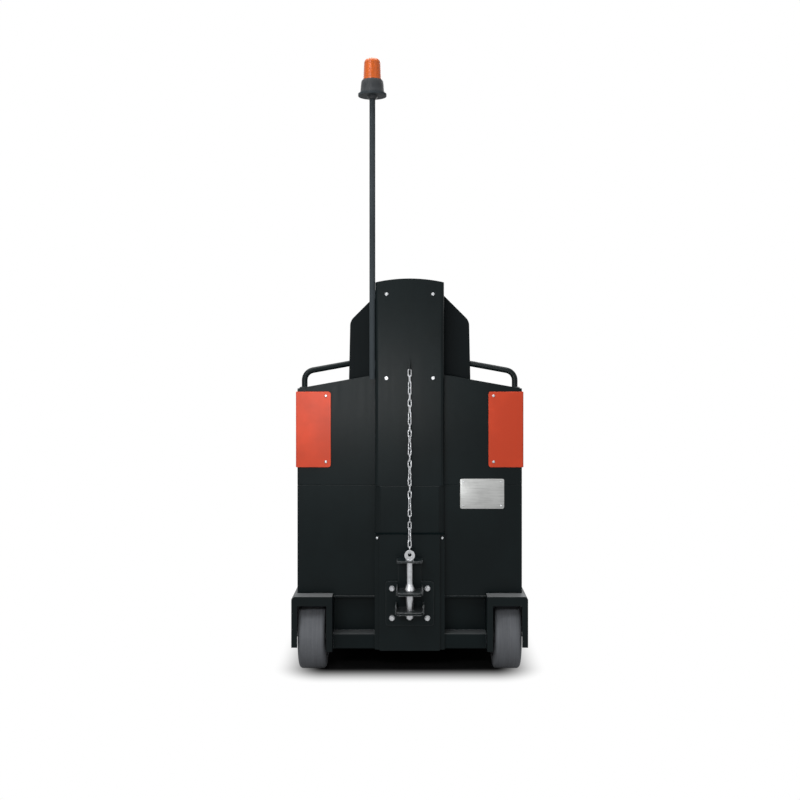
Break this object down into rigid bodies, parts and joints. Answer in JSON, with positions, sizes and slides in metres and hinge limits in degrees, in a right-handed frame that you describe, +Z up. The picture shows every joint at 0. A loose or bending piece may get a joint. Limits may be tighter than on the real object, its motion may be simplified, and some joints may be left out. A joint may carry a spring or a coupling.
{
  "type": "electric tow tractor",
  "caption": "Seated electric tow tractor with a box body, backrest column, rear drop-pin coupling with chain, tiller steering over a front drive wheel and a beacon on a pole.",
  "frame": {"origin": "on the ground under the middle of the bounding box", "axes": "+Y forward, away from the coupling; +X to the right of a driver looking forward; +Z up"},
  "size_m": [0.8, 1.64, 2.104],
  "materials": {
    "black_paint": "satin",
    "guard_red": "gloss",
    "zinc": "satin",
    "tyre_grey": "matte",
    "hub_steel": "satin",
    "seat_vinyl": "grained",
    "mat_rubber": "ribbed",
    "lens_amber": "clear amber",
    "dark_plastic": "fine grain",
    "battery_case": "matte",
    "control_red": "gloss"
  },
  "bodies": {
    "chassis": {"floor_frame": "black_paint", "front_frame": "black_paint", "wheel_housing_left": "black_paint", "wheel_housing_right": "black_paint", "rear_axles": "zinc", "rear_crossmember": "black_paint", "hitch_plate": "black_paint", "rear_panel_lower": "black_paint", "rear_panel_upper": "black_paint", "side_panel_left": "black_paint", "side_panel_right": "black_paint", "side_wing_left": "black_paint", "side_wing_right": "black_paint", "seat_box_front": "black_paint", "rear_deck": "black_paint", "column_plate": "black_paint", "column_cover": "black_paint", "backrest_pan": "black_paint", "backrest_cushion": "seat_vinyl", "rail_left": "black_paint", "rail_right": "black_paint", "beacon_pole": "black_paint", "beacon_base": "dark_plastic", "beacon_lens": "lens_amber", "hitch_bracket": "black_paint", "jaw_cheeks": "black_paint", "tow_pin": "zinc", "tow_chain": "zinc", "corner_guards": "guard_red", "battery": "battery_case", "front_cowl": "black_paint", "cowl_console": "dark_plastic", "front_bumper": "black_paint", "floor_mat": "mat_rubber", "console_controls": "control_red"},
    "rear_wheel_left": {"rear_tyre_left": "tyre_grey", "rear_hub_left": "hub_steel"},
    "rear_wheel_right": {"rear_tyre_right": "tyre_grey", "rear_hub_right": "hub_steel"},
    "steering": {"drive_gearbox": "hub_steel", "drive_motor": "hub_steel", "tiller_base": "black_paint"},
    "drive_wheel": {"drive_tyre": "tyre_grey", "drive_hub": "hub_steel"},
    "tiller": {"tiller_arm": "black_paint", "tiller_head": "dark_plastic"},
    "seat_lid": {"battery_cover": "black_paint", "seat_cushion": "seat_vinyl"}
  },
  "joints": [
    {"name": "rear_wheel_left_roll", "type": "hinge", "parent": "chassis", "child": "rear_wheel_left", "pos_m": [-0.335, -0.61, 0.125], "axis": [1, 0, 0], "continuous": true},
    {"name": "rear_wheel_right_roll", "type": "hinge", "parent": "chassis", "child": "rear_wheel_right", "pos_m": [0.335, -0.61, 0.125], "axis": [1, 0, 0], "continuous": true},
    {"name": "steer", "type": "hinge", "parent": "chassis", "child": "steering", "pos_m": [0, 0.595, 0.3], "axis": [0, 0, 1], "range_deg": [-80, 80]},
    {"name": "drive_wheel_roll", "type": "hinge", "parent": "steering", "child": "drive_wheel", "pos_m": [0, 0.595, 0.125], "axis": [1, 0, 0], "continuous": true},
    {"name": "tiller_tilt", "type": "hinge", "parent": "steering", "child": "tiller", "pos_m": [0, 0.595, 0.92], "axis": [1, 0, 0], "range_deg": [0, 50], "stiffness_Nm_per_rad": 22, "springref_deg": -57.3},
    {"name": "seat_lid_open", "type": "hinge", "parent": "chassis", "child": "seat_lid", "pos_m": [0, -0.12, 0.651], "axis": [-1, 0, 0], "range_deg": [0, 70]}
  ]
}
